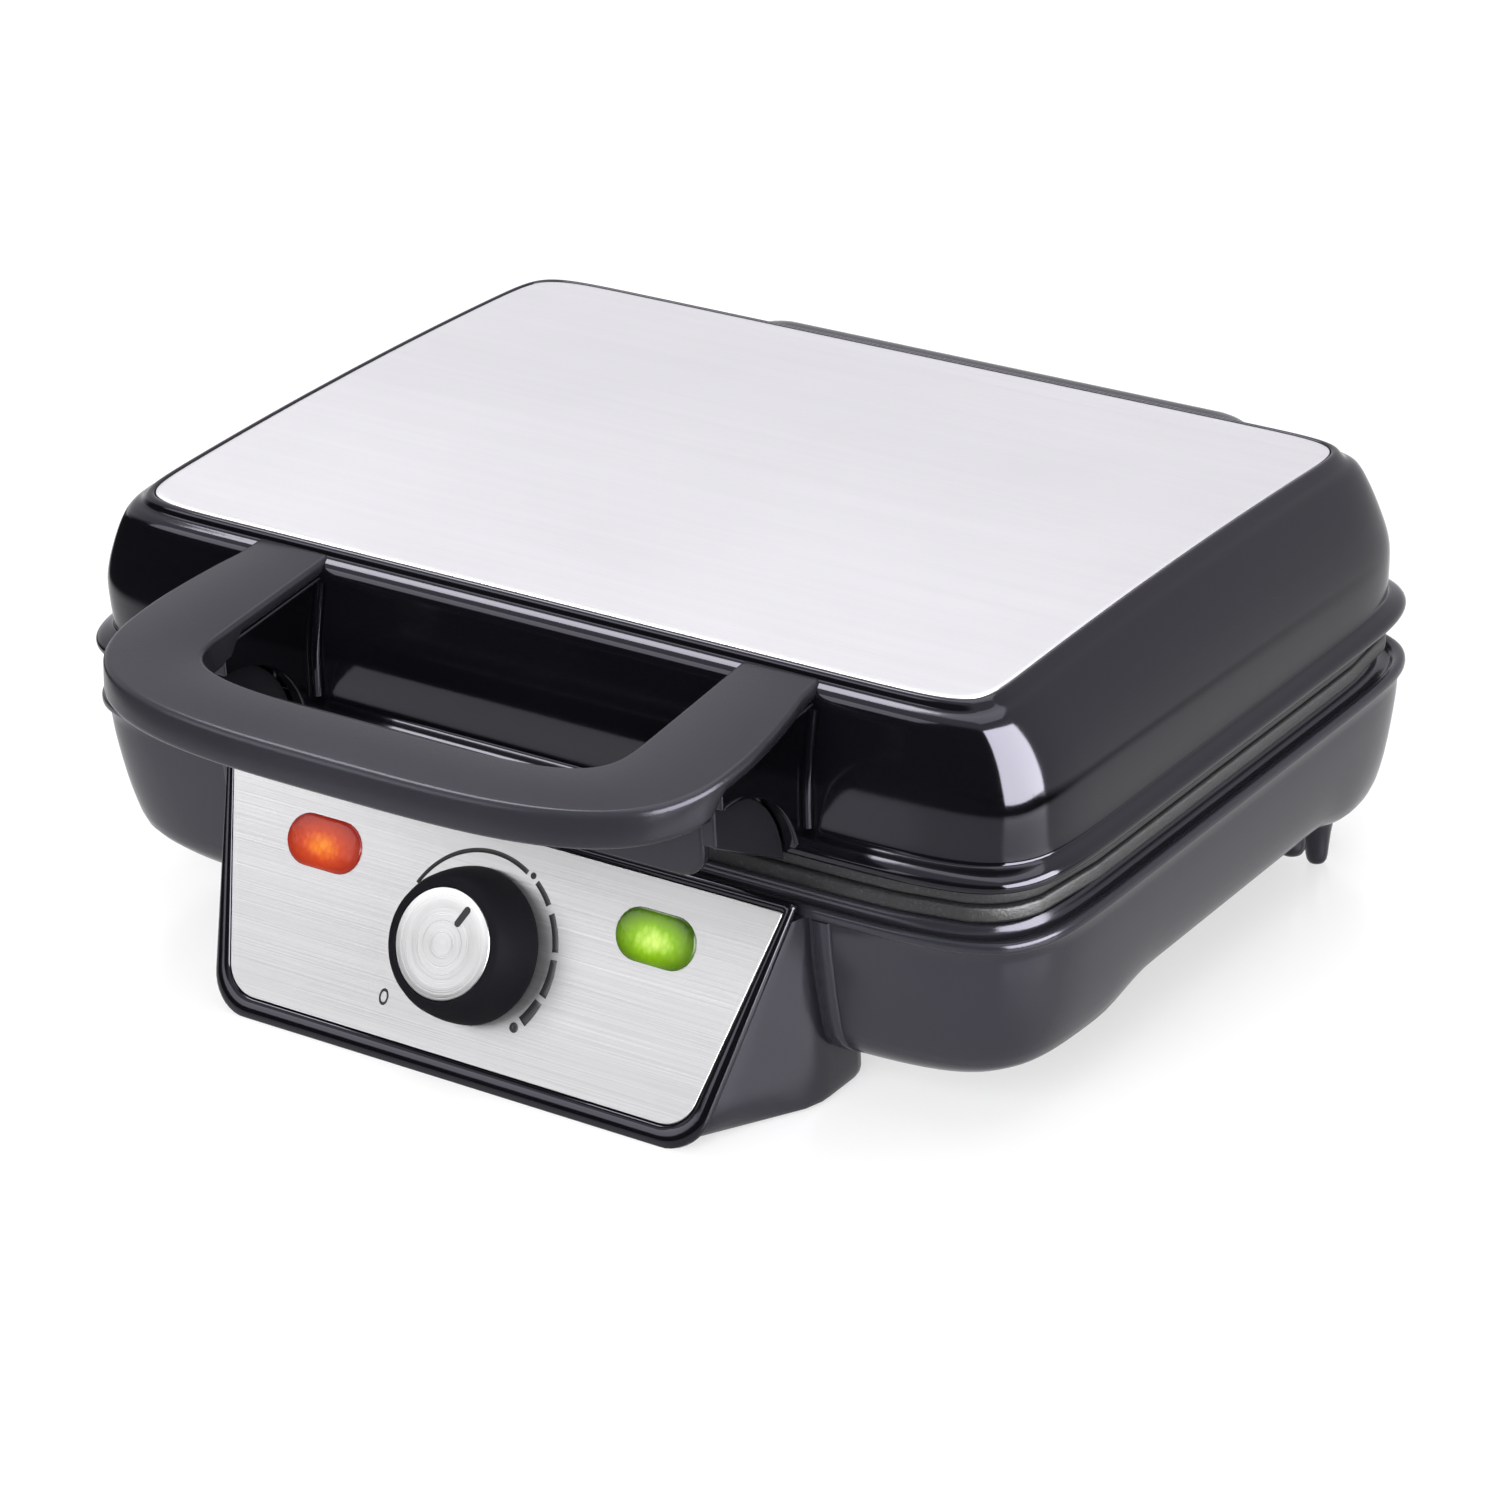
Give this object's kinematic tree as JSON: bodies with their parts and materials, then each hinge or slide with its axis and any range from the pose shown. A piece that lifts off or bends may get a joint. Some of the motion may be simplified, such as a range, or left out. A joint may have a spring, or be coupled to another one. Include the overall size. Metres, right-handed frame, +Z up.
{
  "type": "waffle_maker",
  "caption": "Electric waffle maker with a steel-topped black lid, a loop handle, cast waffle plates and a sloping steel control panel with a turning knob and indicator lenses",
  "frame": {"origin": "middle of the footprint, on the table, at the level of the pads' and legs' undersides", "axes": "+X to the user's right, +Y away from the user to the hinge, +Z up"},
  "size_m": [0.261, 0.2656, 0.101],
  "materials": {
    "black_gloss": "gloss black moulded",
    "black_satin": "satin black moulded",
    "rubber": "moulded rubber",
    "brushed_steel": "brushed along its width",
    "red_lens": "clear tinted, smooth",
    "green_lens": "clear tinted, smooth",
    "lamp_glass": "clear bulb",
    "white_plastic": "moulded",
    "ceramic": "fired ceramic body",
    "zinc_steel": "zinc plated",
    "brass": "turned",
    "copper": "drawn tube",
    "nonstick": "die-cast aluminium, black non-stick coating",
    "heater_tube": "oxidised tube",
    "reflector": "bright sheet",
    "glass_braid": "glass-fibre sleeve",
    "spun_aluminium": "spun, with fine circles"
  },
  "bodies": {
    "base": {"base_housing": "black_gloss", "rear_legs": "black_satin", "control_box": "black_satin", "box_cover": "black_satin", "front_pads": "rubber", "panel_bezel": "black_gloss", "control_panel": "brushed_steel", "power_lens": "red_lens", "ready_lens": "green_lens", "neon_lamps": "lamp_glass", "lamp_holders": "white_plastic", "thermostat": "ceramic", "thermostat_bracket": "zinc_steel", "capillary_bulb": "copper", "lower_plate": "nonstick", "lower_heater": "heater_tube", "lower_reflector": "reflector", "thermal_fuse": "ceramic", "terminal_block": "white_plastic", "cord_gland": "rubber", "base_wiring": "glass_braid", "base_screws": "zinc_steel", "hinge_pins": "zinc_steel"},
    "knob": {"knob_shaft": "brass", "knob": "black_satin", "knob_cap": "spun_aluminium"},
    "lid": {"lid_housing": "black_gloss", "steel_top": "brushed_steel", "handle_loop": "black_satin", "lower_grip": "black_satin", "upper_plate": "nonstick", "upper_heater": "heater_tube", "upper_reflector": "reflector", "lid_wiring": "glass_braid", "lid_screws": "zinc_steel", "hinge_arms": "zinc_steel", "hinge_cover": "black_satin"}
  },
  "joints": [
    {"name": "lid_hinge", "type": "hinge", "parent": "base", "child": "lid", "pos_m": [0, 0.11625, 0.0563], "axis": [-1, 0, 0], "range_deg": [0, 100]},
    {"name": "knob_turn", "type": "hinge", "parent": "base", "child": "knob", "pos_m": [0, -0.08864, 0.02718], "axis": [0, -0.8942, 0.4478], "range_deg": [-107, 157]}
  ]
}
